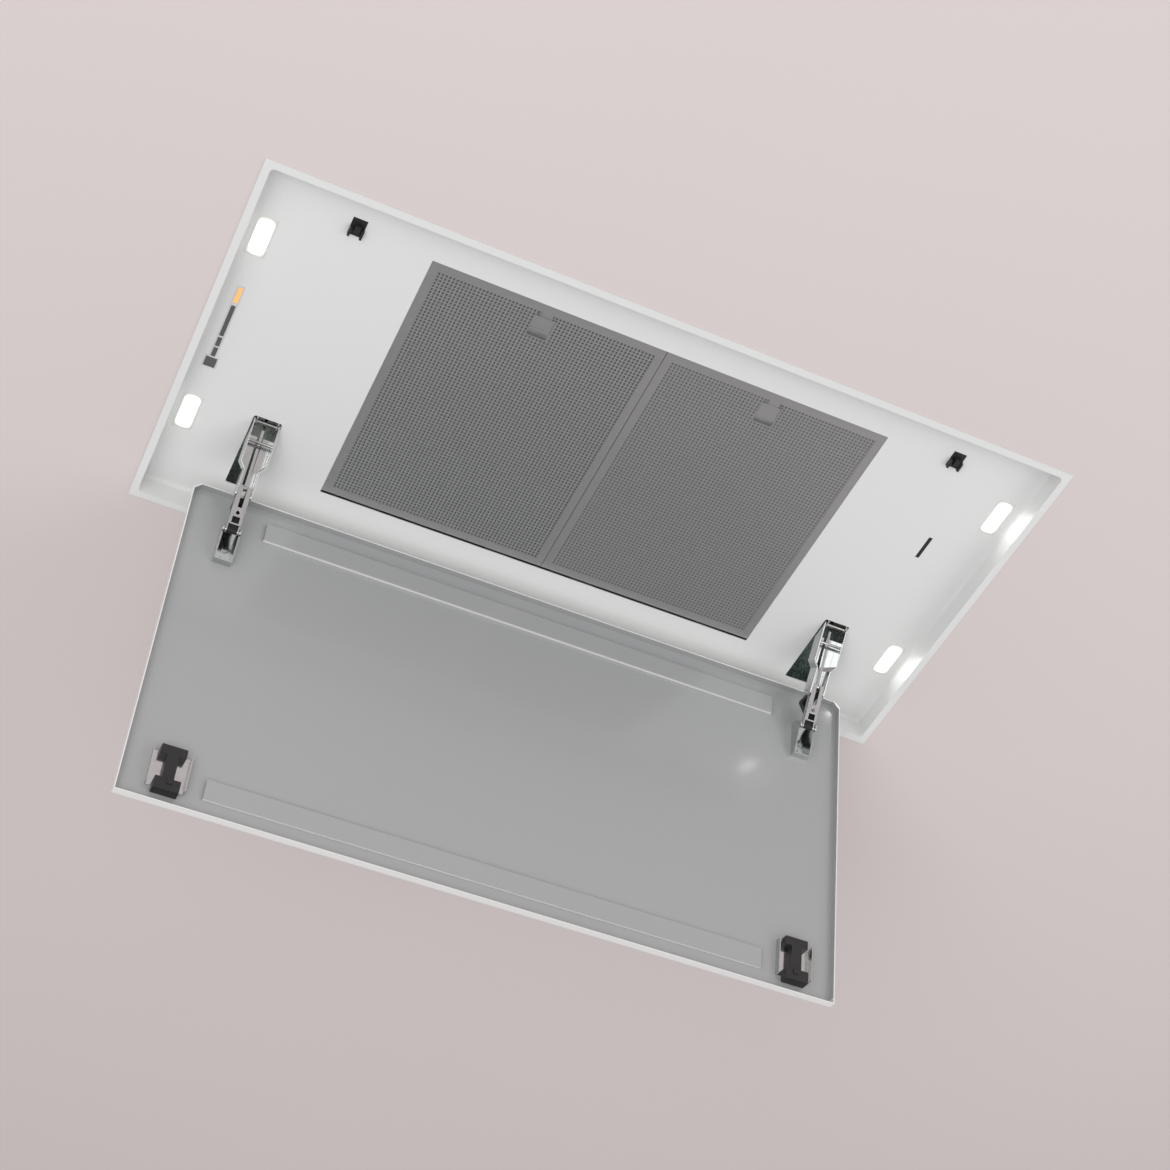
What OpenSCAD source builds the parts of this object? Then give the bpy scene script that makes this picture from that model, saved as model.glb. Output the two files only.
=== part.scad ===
// Ceiling range hood with its front panel hanging open on concealed hinges.
// Millimetres, +Z up. The origin is the centre of the rim's lower face, the hinge side
// is +Y, and the panel is drawn open, as it hangs at rest.

/* [Tray] */
// Length of the tray beyond the filters at each end, over its rim
tray_end_l = 190; // [180:1:230]
// Width of the tray in front of the filters, over its rim
tray_front_w = 55.8; // [50:0.1:70]
// Width of the tray behind the filters, over its rim
tray_rear_w = 66.1; // [60:0.1:80]
// Width of the rim that lies against the ceiling
rim_w = 8; // [6:0.5:12]
// Thickness of the tray sheet
sheet_t = 1.2; // [0.8:0.1:1.6]
// Depth of the recess, from the rim to the plate
recess_depth = 28; // [26:0.5:34]
// Inside radius of the tray's bends
bend_r = 5; // [2:0.5:8]

/* [Casing] */
// Distance of the casing's ends from the tray's ends
casing_end = 12; // [10:0.5:15]
// Distance of the casing's long sides from the tray's sides
casing_side = 10.5; // [9.5:0.5:14]
// Height of the casing's top above the rim
casing_top = 300; // [295:1:340]
// Thickness of the casing sheet
casing_t = 1; // [0.8:0.1:1.5]
// Width of the casing's foot flanges
flange_w = 12; // [10:0.5:14]
// Radius of the welded studs that hold the casing
stud_r = 2; // [1.5:0.5:2.5]
// Distance of each plenum wall from the filter opening
plenum_gap = 8; // [4:1:20]

/* [Duct] */
// Outside radius of the duct collar
collar_r = 74.5; // [60:0.5:75]
// Height of the duct collar above the casing
collar_h = 52; // [45:1:80]
// Radius of the flap axle
axle_r = 2; // [1.5:0.5:3]
// Height of the flap axle above the casing
axle_rise = 20; // [14:1:24]

/* [Blower] */
// Outside radius of the impeller
wheel_r = 72; // [60:1:74]
// Length of the impeller
wheel_l = 116; // [90:1:118]
// Depth of the impeller's blades
blade_d = 12; // [8:1:14]
// Number of blades around the impeller
blade_count = 32; // [20:1:40]
// Room at each end of the impeller inside the scroll
scroll_room = 7; // [4:0.5:12]
// Radius of the motor body
motor_r = 38; // [30:1:42]
// Radius of the motor shaft
shaft_r = 4; // [3:0.5:6]

/* [Filters] */
// Length of one grease filter along the hood
filter_l = 259.4; // [240:0.1:262]
// Width of one grease filter across the hood
filter_w = 319.5; // [300:0.5:322]
// Thickness of a grease filter
filter_t = 9; // [7:0.5:12]
// Width of the filter's edge channel
filter_edge = 9; // [6:0.5:12]
// Side of the square finger recess
grip_l = 24; // [20:1:30]

/* [Panel] */
// Distance of the closed panel's ends from the tray's ends
panel_end = 59.5; // [50:0.5:70]
// Distance of the closed panel's long sides from the tray's sides
panel_side = 30.5; // [27:0.5:35]
// Thickness of the panel sheet
panel_t = 1.2; // [0.8:0.1:2]
// Height of the panel's turned edge
panel_edge = 8; // [6:0.5:9]
// Distance of the stiffeners' ends from the panel's ends
stiffener_end = 85.5; // [80:0.5:180]
// Width of a stiffener
stiffener_w = 23; // [16:1:26]

/* [Hinges] */
// Distance of each hinge from the tray's end
hinge_end = 107.6; // [100:0.1:115]
// Distance of the arm's fixed pivot from the tray's rear side
pivot_side = 126.5; // [124:0.5:128]
// Height of the arm's fixed pivot above the plate
pivot_rise = 2; // [1:0.5:3]
// Length of an arm between its pivots
arm_l = 79.25; // [78:0.25:80]
// Length of a link between its pivots
link_l = 40.26; // [39.5:0.01:41]
// Outside width of an arm at its wide end
arm_w = 29; // [27:0.5:30]
// Radius of the arm's fixed pivot pins
pivot_r = 2.5; // [2:0.25:3]

/* [Catches] */
// Distance of each catch from the tray's end
catch_end = 109; // [105:0.5:114]
// Distance of the catches from the tray's front side
catch_side = 51.5; // [49:0.5:54]
// Travel of a catch's plunger
plunger_travel = 3; // [1:0.5:4]

/* [Lamps] */
// Distance of the lamps from the tray's end
lamp_end = 27; // [26:0.5:30]
// Length of a lamp window
lamp_l = 47; // [40:1:60]
// Width of a lamp window
lamp_w = 20; // [16:0.5:20]

/* [Controls] */
// Distance of the control strip from the tray's end
strip_end_l = 28.4; // [27:0.1:31]
// Width of the narrow control strip
strip_w = 4.6; // [4:0.1:6]
// Side of the square main key
main_key_l = 12; // [10:0.5:13]
// Travel of a key
key_travel = 1; // [0.5:0.1:1.2]

/* [Hidden] */
// Resolution of round shapes
$fn = 48;
// Overrun of a cut past its piece
over = 1;
// Radial clearance of a turning pin
run_gap = 0.05;
// Clearance between plugged pieces and between a piece and its window
fit_gap = 0.15;
// Clearance between pieces that lie on one another and move apart
seat_gap = 0.3;

// Heights and openings of the tray
plate_z = recess_depth;
plate_top = plate_z + sheet_t;
filter_gap = 0.6;
filter_front_gap = 0.7;
filter_rear_gap = 2.9;
opening_l = 2 * filter_l + 2 * filter_gap;
opening_w = filter_w + filter_front_gap + filter_rear_gap;
tray_l = opening_l + 2 * tray_end_l;
tray_w = tray_front_w + opening_w + tray_rear_w;
inner_l = tray_l - 2 * rim_w;
inner_w = tray_w - 2 * rim_w;
rim_corner_r = 2;
opening_front_y = tray_front_w - tray_w / 2;
opening_rear_y = opening_front_y + opening_w;
filter_front_y = opening_front_y + filter_front_gap;
pivot_y = tray_w / 2 - pivot_side;
slot_l = 98;
slot_w = 31;
slot_back = 8;
slot_y = pivot_y - slot_back;
slot_corner_r = 2.5;
stud_h = 9;
casing_l = tray_l - 2 * casing_end;
casing_w = tray_w - 2 * casing_side;
stud_end = 58;
stud_pitch = (casing_l / 2 - stud_end) / 2;
stud_xs = [-2 * stud_pitch, -stud_pitch, 0, stud_pitch, 2 * stud_pitch];
stud_inset = 6;
stud_y = casing_w / 2 - stud_inset;
nut_r = 4;
nut_h = 3.2;

// Casing, plenum walls, hangers and junction box
plenum_x = opening_l / 2 + plenum_gap;
plenum_t = 1;
plenum_foot = 10;
hanger_x = 240;
hanger_y = 150;
hanger_l = 380;
hanger_w = 40;
hanger_h = 30;
hanger_t = 2;
hanger_hole_r = 4.5;
box_end = 88;
box_x = casing_l / 2 - box_end;
box_l = 120;
box_w = 140;
box_h = 42;
box_t = 2;
gland_r = 8;
gland_bore_r = 4;
gland_l = 22;
gland_nut_r = 11;
gland_nut_l = 6;

// Duct collar and its two flaps
collar_t = 1;
collar_flange_r = 88;
flap_t = 1;
flap_gap = 1.2;
flap_start = 4.6;
knuckle_r = 4;
knuckle_l = 14;
knuckle_xs = [-54, -18, 18, 54];
flap_stop_l = 5;
flap_stop_w = 10;
collar_bore_r = collar_r - collar_t;
axle_z = casing_top + axle_rise;

// Blower scroll, impeller and motor
scroll_t = 1.2;
scroll_l = wheel_l + 2 * scroll_room;
wheel_y = -78;
wheel_depth = 145;
wheel_z = casing_top - wheel_depth;
wheel_gap = 8;
scroll_growth = 40;
scroll_start_a = 90;
scroll_sweep_a = 270;
scroll_steps = 40;
inlet_step = 2;
inlet_r = wheel_r - blade_d - inlet_step;
outlet_flange = 10;
outlet_share = 0.42;
blade_t = 1;
blade_lean = 16;
disc_t = 2;
ring_h = 3;
hub_r = 10;
hub_l = 14;
motor_l = 52;
motor_stub = 6;
mount_t = 2.5;
mount_w = 8;
mount_arm_w = 9;

// Filters and their latches
filter_z = plate_z + 0.6 * sheet_t;
edge_t = 1;
mesh_t = 1;
lug_t = 1.5;
lug_w = 30;
lug_l = 6.5;
lug_x_share = 0.3;
lug_z = plate_top + seat_gap;
grip_w = 22;
grip_t = 1;
grip_front = 28;
grip_y = filter_front_y + grip_front;
grip_depth = 7;
bolt_w = 12;
bolt_t = 2;
bolt_l = 5;
latch_travel = 6;
latch_pull_l = 4;
bolt_gap = 0.2;

// Panel, its stiffeners and hinge cups, drawn flat with the hinge edge on Y = 0 and
// the outer face on Z = 0
panel_l = tray_l - 2 * panel_end;
panel_w = tray_w - 2 * panel_side;
stiffener_l = panel_l - 2 * stiffener_end;
stiffener_h = 4;
stiffener_t = 1;
stiffener_inset = 19;
corner_cut = 7;
cup_s = 56;
cup_p = 20;
cup_start = 45;
cup_end = 88;
cup_w = 20;
cup_t = 1.5;
cup_eye_r = 4.5;
cup_low = 10;
cup_floor = 1.5;
cup_screw_r = 3.2;
cup_screw_h = 2;
cup_screw_ss = [70, 80];

// Hinge pivots, seen from the side as Y and Z, with the panel open
hinge_x = tray_l / 2 - hinge_end;
pivot_z = plate_z + pivot_rise;
arm_open_a = -47.05;
link_open_a = -52.02;
panel_open_a = 102;
knee = [pivot_y, pivot_z] + arm_l * [cos(arm_open_a), sin(arm_open_a)];
cup_pivot = knee + link_l * [cos(link_open_a), sin(link_open_a)];

// The same angles with the panel closed, and where its hinge edge and outer face come to
arm_close_a = 4.27;
link_close_a = -165.76;
closed_y = pivot_y + arm_l * cos(arm_close_a) + link_l * cos(link_close_a) + cup_s;
closed_z = pivot_z + arm_l * sin(arm_close_a) + link_l * sin(link_close_a) - cup_p;

// Arm, a channel that is open towards the room
arm_t = 1.4;
arm_neck_w = 18;
arm_neck_start = 45;
arm_neck_end = 52;
arm_low = 6;
arm_high = 12.5;
arm_end = 5.75;
arm_web_start = 14;
arm_web_end = 80;
rod_slot_w = 6;
arm_tie = [22, -3];
arm_tie_r = 1.6;
knee_pin_r = 2;
knee_pin_in = 4.6;
pin_head = 0.6;

// Link, its front plate and its gooseneck
cheek_x = 5.6;
cheek_t = 1.4;
cheek_r = 4;
front_q = 4;
front_t = 1.5;
front_w = 14.4;
front_start = -9;
front_end_gap = 6;
front_slot_w = 4.4;
front_slot_end = 15;
hole_share = 0.52;
hole_r = 2;
window_l = 7;
window_w = 8;
window_share = 0.72;
rod_w = -7;
rod_pin_r = 1.5;
neck_r = 3;
neck_waist = 0.3;
neck_elbow = [11, 23];
neck_mid = [25, 3.4];
neck_fork_w = 4.4;
neck_fork_end = 9;
cup_pin_r = 2;

// Carrier bracket on the plate
ear_x = 10.8;
ear_t = 1.5;
carrier_foot = 30;
carrier_back_y = slot_y - carrier_foot;
carrier_l = 28;
carrier_w = 52;
carrier_t = 1.5;
carrier_front = 7;
carrier_eye_r = 4.5;
carrier_screw_r = 3;
carrier_screw_x = 19;
anchor_back = 3;
anchor_rise = 22;
rod_anchor = [pivot_y - anchor_back, pivot_z + anchor_rise];
carrier_rim = 8;
carrier_top = rod_anchor[1] + carrier_rim;
anchor_pin_r = 2;
trough_t = 1;
trough_foot = 8;
trough_room = 4;

// Control rod between the carrier and the link
rod_t = 3;
rod_r = 2;
rod_eye_r = 3;
rod_pivot = knee + rod_w * [cos(link_open_a), sin(link_open_a)];
rod_run = rod_anchor - rod_pivot;
rod_l = norm(rod_run);
rod_open_a = atan2(rod_run[1], rod_run[0]);
anchor_slot_back = 0.65;
anchor_slot_gap = 0.8;
anchor_slot_l = 4.4;

// Catches
catch_x = tray_l / 2 - catch_end;
catch_y = tray_w / 2 - catch_side;
receiver_l = 15;
receiver_w = 20;
receiver_lip = 3;
receiver_lip_t = 2;
receiver_h = 15;
jaw_t = 2.4;
jaw_drop = 5.5;
jaw_w = 11;
plunger_l = 6;
plunger_w = 8;
plunger_rest = 3.5;
plunger_drop = plunger_rest + plunger_travel;
plunger_h = 16;
keeper_shift = 2;
keeper_x = catch_x + keeper_shift;
keeper_edge = 11;
keeper_w = 51;
keeper_end = panel_w - keeper_edge;
keeper_start = keeper_end - keeper_w;
keeper_plate_w = 39.5;
keeper_plate_edge = 18;
keeper_plate_l = 40;
keeper_plate_end = panel_w - keeper_plate_edge;
keeper_plate_start = keeper_plate_end - keeper_plate_l;
keeper_plate_t = 1;
keeper_wing_h = 9;
keeper_bar_w = 26;
keeper_bar_l = 13;
keeper_top_l = 10;
keeper_pillar_w = 12;
keeper_h = 12;
keeper_top_h = 9;
striker_gap = 0.2;
striker_w = 5.6;
striker_l = 6;

// Lamps
lamp_x = tray_l / 2 - lamp_end;
lamp_ys = [-121, 113];
lamp_lip = 2;
lamp_lip_t = 1.5;
lamp_lens_sink = 0.2;
lamp_box_t = 1;
lamp_box_h = 22;
fin_count = 7;
fin_h = 5;
fin_t = 1.2;

// Control strip: places along the hood's width
strip_x = tray_l / 2 - strip_end_l;
strip_start = -58;
strip_end = 36.4;
main_key_y = 42.6;
indicator_ys = [-56.5, -37];
window_ys = [-33, 7.4];
light_key_ys = [9.4, 21];
fan_key_ys = [23, 34.6];
bezel_margin = 1.3;
bezel_lip = 2;
bezel_lip_t = 1.2;
bezel_drop = 0.2;
key_margin = 0.5;
key_head = 0.6;
key_h = 4.6;
board_l = 24;
board_y0 = -62;
board_y1 = 56;
board_h = 16;
board_t = 1.5;
key_room = 6;
board_deck = key_room + key_travel;

// Dark sensor slot
sensor_end = 77.1;
sensor_x = tray_l / 2 - sensor_end;
sensor_y = -51;
sensor_w = 4.5;
sensor_l = 31;
sensor_lip = 2.5;
sensor_h = 8;

// Block centred on X and Y that stands on its base
module block(size, at = [0, 0, 0]) {
    translate(at - [size[0] / 2, size[1] / 2, 0]) cube(size);
}

// Block given by its lowest and highest corners
module span(low, high) {
    translate(low) cube(high - low);
}

// Rectangle with round corners
module round_rect(l, w, r) {
    square([l - 2 * r, w], center = true);
    square([l, w - 2 * r], center = true);
    for (x = [-1, 1], y = [-1, 1])
        translate([x * (l / 2 - r), y * (w / 2 - r)]) circle(r);
}

// Box whose upright and top edges are bent round
module bent_box(l, w, h, r) {
    linear_extrude(h - r) round_rect(l, w, r);
    block([l - 2 * r, w - 2 * r, h]);
    for (y = [-1, 1])
        translate([r - l / 2, y * (w / 2 - r), h - r]) rotate([0, 90, 0]) cylinder(r = r, h = l - 2 * r);
    for (x = [-1, 1])
        translate([x * (l / 2 - r), r - w / 2, h - r]) rotate([-90, 0, 0]) cylinder(r = r, h = w - 2 * r);
    for (x = [-1, 1], y = [-1, 1])
        translate([x * (l / 2 - r), y * (w / 2 - r), h - r]) sphere(r);
}

// Outline in Y and Z, extruded along X from x to x + t
module side(t, x) {
    translate([x, 0, 0]) rotate([90, 0, 90]) linear_extrude(t) children();
}

// The same outline as a pair of plates, whose inner faces lie at x on both sides
module side_pair(t, x) {
    side(t, x) children();
    side(t, -x - t) children();
}

// Pin along X through a point in Y and Z
module cross_pin(r, half_l, at = [0, 0]) {
    translate([-half_l, at[0], at[1]]) rotate([0, 90, 0]) cylinder(r = r, h = 2 * half_l);
}

// Flat bar with round ends between two points, whose waist is a little narrower than its ends
module bar(from, to, r, waist = 0) {
    run = to - from;
    translate(from) rotate(atan2(run[1], run[0])) translate([0, waist - r]) square([norm(run), 2 * (r - waist)]);
    translate(from) circle(r);
    translate(to) circle(r);
}

module on_arm() {
    translate([0, pivot_y, pivot_z]) rotate([arm_open_a, 0, 0]) children();
}

module on_link() {
    translate([0, knee[0], knee[1]]) rotate([link_open_a, 0, 0]) children();
}

module on_rod() {
    translate([0, rod_pivot[0], rod_pivot[1]]) rotate([rod_open_a, 0, 0]) children();
}

module on_panel() {
    translate([0, cup_pivot[0], cup_pivot[1]]) rotate([panel_open_a, 0, 0])
        translate([0, cup_s, -cup_p]) children();
}

module at_hinge(s) {
    translate([s * hinge_x, 0, 0]) children();
}

module stud_places() {
    for (x = stud_xs, y = [-1, 1])
        translate([x, y * stud_y, plate_top]) children();
}

// Tray: rim, bent recess and plate, with every window cut through it
module tray() {
    color("whitesmoke") {
        difference() {
            union() {
                linear_extrude(sheet_t) round_rect(tray_l, tray_w, rim_corner_r);
                bent_box(inner_l + 2 * sheet_t, inner_w + 2 * sheet_t, plate_top, bend_r + sheet_t);
            }
            translate([0, 0, -over]) bent_box(inner_l, inner_w, plate_z + over, bend_r);
            translate([0, 0, plate_z - over]) linear_extrude(sheet_t + 2 * over) plate_windows();
        }
        stud_places() cylinder(r = stud_r, h = stud_h);
    }
}

module plate_windows() {
    translate([0, opening_front_y + opening_w / 2]) square([opening_l, opening_w], center = true);
    for (s = [-1, 1]) {
        translate([s * hinge_x, slot_y + slot_l / 2]) round_rect(slot_w, slot_l, slot_corner_r);
        translate([s * catch_x, -catch_y])
            square([receiver_l + 2 * fit_gap, receiver_w + 2 * fit_gap], center = true);
        for (y = lamp_ys)
            translate([s * lamp_x, y]) square([lamp_w, lamp_l], center = true);
    }
    strip_outline(fit_gap);
    translate([sensor_x, sensor_y]) square([sensor_w, sensor_l], center = true);
}

// Outline of the control bezel, grown by a margin
module strip_outline(grow) {
    translate([-strip_x, (strip_start + main_key_y) / 2])
        square([strip_w + 2 * bezel_margin + 2 * grow, main_key_y - strip_start + 2 * grow], center = true);
    translate([-strip_x, main_key_y])
        square([main_key_l + 2 * bezel_margin + 2 * grow, main_key_l + 2 * bezel_margin + 2 * grow],
            center = true);
}

// Casing: folded box over the tray, open below, with foot flanges along its sides
module casing() {
    h = casing_top - plate_top;
    color("silver") difference() {
        union() {
            difference() {
                block([casing_l, casing_w, h], [0, 0, plate_top]);
                block([casing_l - 2 * casing_t, casing_w - 2 * casing_t, h - casing_t + over],
                    [0, 0, plate_top - over]);
            }
            for (s = [-1, 1])
                block([casing_l, flange_w, casing_t], [0, s * (casing_w / 2 - flange_w / 2), plate_top]);
        }
        translate([0, 0, casing_top - casing_t - over])
            cylinder(r = collar_bore_r, h = casing_t + 2 * over);
        translate([box_x, 0, casing_top - casing_t - over])
            cylinder(r = gland_r, h = casing_t + 2 * over);
        translate([0, 0, -over]) stud_places() cylinder(r = stud_r + fit_gap, h = casing_t + 2 * over);
    }
}

module casing_nuts() {
    color("gainsboro") translate([0, 0, casing_t]) stud_places() difference() {
        cylinder(r = nut_r, h = nut_h, $fn = 6);
        translate([0, 0, -over]) cylinder(r = stud_r + run_gap, h = nut_h + 2 * over);
    }
}

// Plenum walls: keep the air path between the filters and the blower
module plenum_walls() {
    foot_z = plate_top + casing_t;
    w = casing_w - 2 * casing_t;
    color("silver") for (s = [-1, 1]) {
        block([plenum_t, w, casing_top - casing_t - foot_z], [s * (plenum_x + plenum_t / 2), 0, foot_z]);
        block([plenum_foot, w - 2 * flange_w, casing_t], [s * (plenum_x + plenum_foot / 2), 0, plate_top]);
    }
}

// Duct collar: tube on a flange, with stops below the flaps
module duct_collar() {
    stop_z = axle_z - flap_t / 2 - flap_stop_w;
    color("lightgray") difference() {
        union() {
            translate([0, 0, casing_top]) cylinder(r = collar_r, h = collar_h, $fn = 96);
            translate([0, 0, casing_top]) cylinder(r = collar_flange_r, h = collar_t, $fn = 96);
        }
        difference() {
            translate([0, 0, casing_top - over]) cylinder(r = collar_bore_r, h = collar_h + 2 * over, $fn = 96);
            for (s = [-1, 1])
                block([flap_stop_w, 2 * flap_stop_l, flap_stop_w], [0, s * collar_bore_r, stop_z]);
        }
        cross_pin(axle_r, collar_r + over, [0, axle_z]);
    }
}

module flap_axle() {
    color("gray") cross_pin(axle_r, collar_r, [0, axle_z]);
}

// Half-round flap on every second knuckle of the axle; side 1 is the rear flap
module flap(side_y, first) {
    r = collar_bore_r - flap_gap;
    mine = [for (i = [0 : len(knuckle_xs) - 1]) if (i % 2 == first) knuckle_xs[i]];
    color("darkgray") difference() {
        union() {
            intersection() {
                translate([0, 0, axle_z - flap_t / 2]) cylinder(r = r, h = flap_t, $fn = 96);
                block([2 * r, r, flap_t], [0, side_y * (flap_start + r / 2), axle_z - flap_t / 2]);
            }
            for (x = mine) {
                translate([x - knuckle_l / 2, 0, axle_z]) rotate([0, 90, 0]) cylinder(r = knuckle_r, h = knuckle_l);
                block([knuckle_l, flap_start, flap_t], [x, side_y * flap_start / 2 + side_y * flap_t, axle_z - flap_t / 2]);
            }
        }
        cross_pin(axle_r + run_gap, collar_r, [0, axle_z]);
    }
}

// Radius of the scroll at an angle, measured from the cut-off round to the outlet
function scroll_r(a) = wheel_r + wheel_gap + scroll_growth * (a - scroll_start_a) / scroll_sweep_a;
function scroll_points(grow) =
    [for (i = [0 : scroll_steps])
        let (a = scroll_start_a + scroll_sweep_a * i / scroll_steps) (scroll_r(a) + grow) * [cos(a), sin(a)]];
outlet_outer = scroll_r(scroll_start_a + scroll_sweep_a);
outlet_inner = outlet_share * outlet_outer;
outlet_h = casing_top - casing_t - wheel_z;

// Side outline of the scroll: spiral and upright outlet
module scroll_outline(grow) {
    cutoff = scroll_r(scroll_start_a) + grow;
    polygon(concat(
        scroll_points(grow),
        [[outlet_outer + grow, outlet_h], [outlet_inner - grow, outlet_h], [outlet_inner - grow, cutoff]]
    ));
}

module blower_scroll() {
    color("lightsteelblue") translate([0, wheel_y, wheel_z]) difference() {
        union() {
            side(scroll_l + 2 * scroll_t, -scroll_l / 2 - scroll_t) scroll_outline(scroll_t);
            block([scroll_l + 2 * scroll_t + 2 * outlet_flange,
                outlet_outer - outlet_inner + 2 * scroll_t + outlet_flange, scroll_t],
                [0, (outlet_outer + outlet_inner + outlet_flange) / 2, outlet_h - scroll_t]);
        }
        side(scroll_l, -scroll_l / 2) scroll_outline(0);
        span([-scroll_l / 2, outlet_inner, outlet_h - 2 * scroll_t], [scroll_l / 2, outlet_outer, outlet_h + over]);
        cross_pin(inlet_r, scroll_l);
    }
}

// Bracket ring with three arms that holds the motor in the left inlet
module motor_mount() {
    x = -scroll_l / 2 - scroll_t - mount_t;
    color("gray") translate([0, wheel_y, wheel_z]) difference() {
        union() {
            side(mount_t, x) difference() {
                circle(inlet_r + mount_w);
                circle(inlet_r);
            }
            side(mount_t, x) for (a = [30, 150, 270])
                rotate(a) translate([motor_r, -mount_arm_w / 2]) square([inlet_r + mount_w / 2 - motor_r, mount_arm_w]);
            side(mount_t, x) circle(motor_r + mount_w / 2);
        }
        cross_pin(motor_r, scroll_l);
    }
}

module blower_motor() {
    color("dimgray") translate([-scroll_l / 2 - scroll_t - mount_t - motor_stub, wheel_y, wheel_z])
        rotate([0, 90, 0]) difference() {
            union() {
                cylinder(r = motor_r, h = motor_l);
                cylinder(r = 3 * shaft_r, h = motor_l + motor_stub);
            }
            translate([0, 0, -over]) cylinder(r = shaft_r + run_gap, h = motor_l + motor_stub + 2 * over);
        }
}

module motor_shaft() {
    x = -scroll_l / 2 - scroll_t - mount_t - motor_stub;
    color("lightgray") translate([x, wheel_y, wheel_z]) rotate([0, 90, 0]) cylinder(r = shaft_r, h = hub_l / 2 - x);
}

// Double-inlet impeller: leaning blades between two rings and a middle disc
module impeller() {
    inner_r = wheel_r - blade_d;
    color("slategray") translate([0, wheel_y, wheel_z]) {
        difference() {
            union() {
                side(disc_t, -disc_t / 2) circle(wheel_r - blade_t);
                side(hub_l, -hub_l / 2) circle(hub_r);
            }
            cross_pin(shaft_r, hub_l);
        }
        for (x = [-wheel_l / 2, wheel_l / 2 - ring_h])
            side(ring_h, x) difference() {
                circle(wheel_r);
                circle(wheel_r - blade_d / 3);
            }
        side(wheel_l, -wheel_l / 2) for (i = [0 : blade_count - 1])
            rotate(360 * i / blade_count) blade_outline(inner_r);
    }
}

module blade_outline(inner_r) {
    mid_r = (inner_r + wheel_r) / 2;
    tip_r = wheel_r - blade_t / 2;
    polygon([
        inner_r * [1, 0],
        mid_r * [cos(blade_lean / 8), sin(blade_lean / 8)],
        tip_r * [cos(blade_lean / 2), sin(blade_lean / 2)],
        tip_r * [cos(blade_lean / 2), sin(blade_lean / 2)] + [0, -blade_t],
        mid_r * [cos(blade_lean / 8), sin(blade_lean / 8)] + [0, -blade_t],
        [inner_r, -blade_t]
    ]);
}

module junction_box() {
    color("lightgray") difference() {
        block([box_l, box_w, box_h], [box_x, 0, casing_top]);
        block([box_l - 2 * box_t, box_w - 2 * box_t, box_h - box_t + over], [box_x, 0, casing_top - over]);
        translate([box_x + box_l / 2 - box_t - over, 0, casing_top + box_h / 2]) rotate([0, 90, 0])
            cylinder(r = gland_r, h = box_t + 2 * over);
    }
}

module cable_gland() {
    x = box_x + box_l / 2;
    color("dimgray") translate([x - box_t, 0, casing_top + box_h / 2]) rotate([0, 90, 0]) difference() {
        union() {
            cylinder(r = gland_r, h = gland_l);
            translate([0, 0, box_t]) cylinder(r = gland_nut_r, h = gland_nut_l, $fn = 6);
        }
        translate([0, 0, -over]) cylinder(r = gland_bore_r, h = gland_l + 2 * over);
    }
}

// Channel on the casing's top, whose upper leg hangs on two threaded rods
module hanger(s) {
    color("silver") difference() {
        block([hanger_w, hanger_l, hanger_h], [s * hanger_x, 0, casing_top]);
        block([hanger_w, hanger_l + 2 * over, hanger_h - 2 * hanger_t],
            [s * (hanger_x + hanger_t), 0, casing_top + hanger_t]);
        for (y = [-1, 1])
            translate([s * hanger_x, y * hanger_y, casing_top + hanger_h - hanger_t - over])
                cylinder(r = hanger_hole_r, h = hanger_t + 2 * over);
    }
}

// Centre of a filter along the hood
function filter_x(s) = s * (filter_l + filter_gap) / 2;

// Filter frame: edge channels, rear lugs and the square finger recess
module filter_frame(s) {
    mid_y = filter_front_y + filter_w / 2;
    rear_y = filter_front_y + filter_w;
    web = filter_t - 2 * edge_t;
    grip_out = [grip_w + 2 * grip_t, grip_l + 2 * grip_t, grip_depth];
    color("darkgray") translate([filter_x(s), 0, 0]) difference() {
        union() {
            difference() {
                block([filter_l, filter_w, filter_t], [0, mid_y, filter_z]);
                block([filter_l - 2 * edge_t, filter_w - 2 * edge_t, web], [0, mid_y, filter_z + edge_t]);
                block([filter_l - 2 * filter_edge, filter_w - 2 * filter_edge, filter_t + 2 * over],
                    [0, mid_y, filter_z - over]);
            }
            for (x = [-1, 1])
                block([lug_w, lug_l, lug_t], [x * lug_x_share * filter_l, rear_y + lug_l / 2, lug_z]);
            block(grip_out, [0, grip_y, filter_z]);
            span([-bolt_w / 2 - grip_t, filter_front_y + edge_t, filter_z + edge_t],
                [bolt_w / 2 + grip_t, grip_y, filter_z + grip_depth]);
        }
        block([grip_w, grip_l, grip_depth - grip_t + over], [0, grip_y, filter_z - over]);
        span([-bolt_w / 2 - bolt_gap, filter_front_y - over, lug_z - bolt_gap],
            [bolt_w / 2 + bolt_gap, grip_y, lug_z + bolt_t + bolt_gap]);
    }
}

// Filter pad: two skins of expanded metal with folded edges, held in the edge channels
module filter_mesh(s) {
    mid_y = filter_front_y + filter_w / 2;
    h = filter_t - 2 * edge_t;
    fold = 2 * edge_t + 2 * mesh_t;
    color("gray") translate([filter_x(s), 0, 0]) difference() {
        block([filter_l - 2 * edge_t, filter_w - 2 * edge_t, h], [0, mid_y, filter_z + edge_t]);
        block([filter_l - fold, filter_w - fold, h - 2 * mesh_t], [0, mid_y, filter_z + edge_t + mesh_t]);
        block([grip_w + 2 * grip_t, grip_l + 2 * grip_t, filter_t], [0, grip_y, filter_z]);
        span([-bolt_w / 2 - grip_t, filter_front_y, filter_z],
            [bolt_w / 2 + grip_t, grip_y, filter_z + filter_t]);
    }
}

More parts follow.
